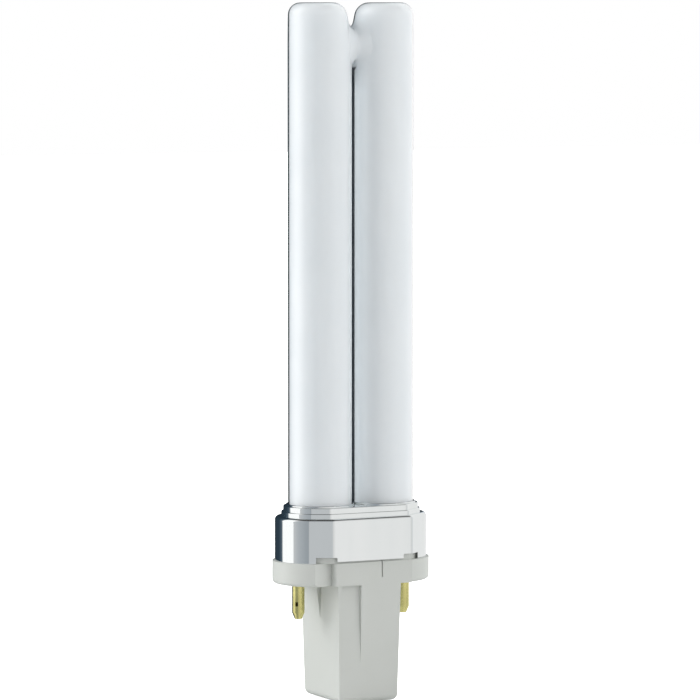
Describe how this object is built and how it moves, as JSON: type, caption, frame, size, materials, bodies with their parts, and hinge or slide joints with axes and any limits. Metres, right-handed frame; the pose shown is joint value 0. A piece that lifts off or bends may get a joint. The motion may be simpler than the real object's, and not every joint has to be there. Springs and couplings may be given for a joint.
{
  "type": "u shaped fluorescent bulb",
  "caption": "Plug-in compact fluorescent lamp: white glass legs joined by a bridge near the top, a bright metal collar and a pale plastic cap with a square post and brass pins",
  "frame": {"origin": "On the lamp's long axis, midway between the contact pins, level with the flat underside of the cap's ears, which is the seat in the holder", "axes": "+Z along the lamp's long axis to the bridged end of the glass, +X along the row of contact pins to the right-hand pin, -Y to the lamp's front with the long keyway"},
  "size_m": [0.0324, 0.0176, 0.137],
  "materials": {
    "coated_glass": "clear glass over a white powder coat inside",
    "collar_metal": "bright plated sheet",
    "cap_plastic": "pale grey-white, satin",
    "pin_brass": "bare brass, lightly worn",
    "cement": "baked cement, dull",
    "bottle_glass": "clear",
    "capacitor_coat": "dipped coat",
    "lead_wire": "plated wire"
  },
  "bodies": {
    "root": {"discharge_tube": "coated_glass", "metal_collar": "collar_metal", "base_housing": "cap_plastic", "left_contact_pin": "pin_brass", "right_contact_pin": "pin_brass", "basing_cement": "cement", "starter_bottle": "bottle_glass", "starter_capacitor": "capacitor_coat", "left_pin_lead": "lead_wire", "right_pin_lead": "lead_wire", "left_starter_lead": "lead_wire", "right_starter_lead": "lead_wire"}
  },
  "joints": []
}
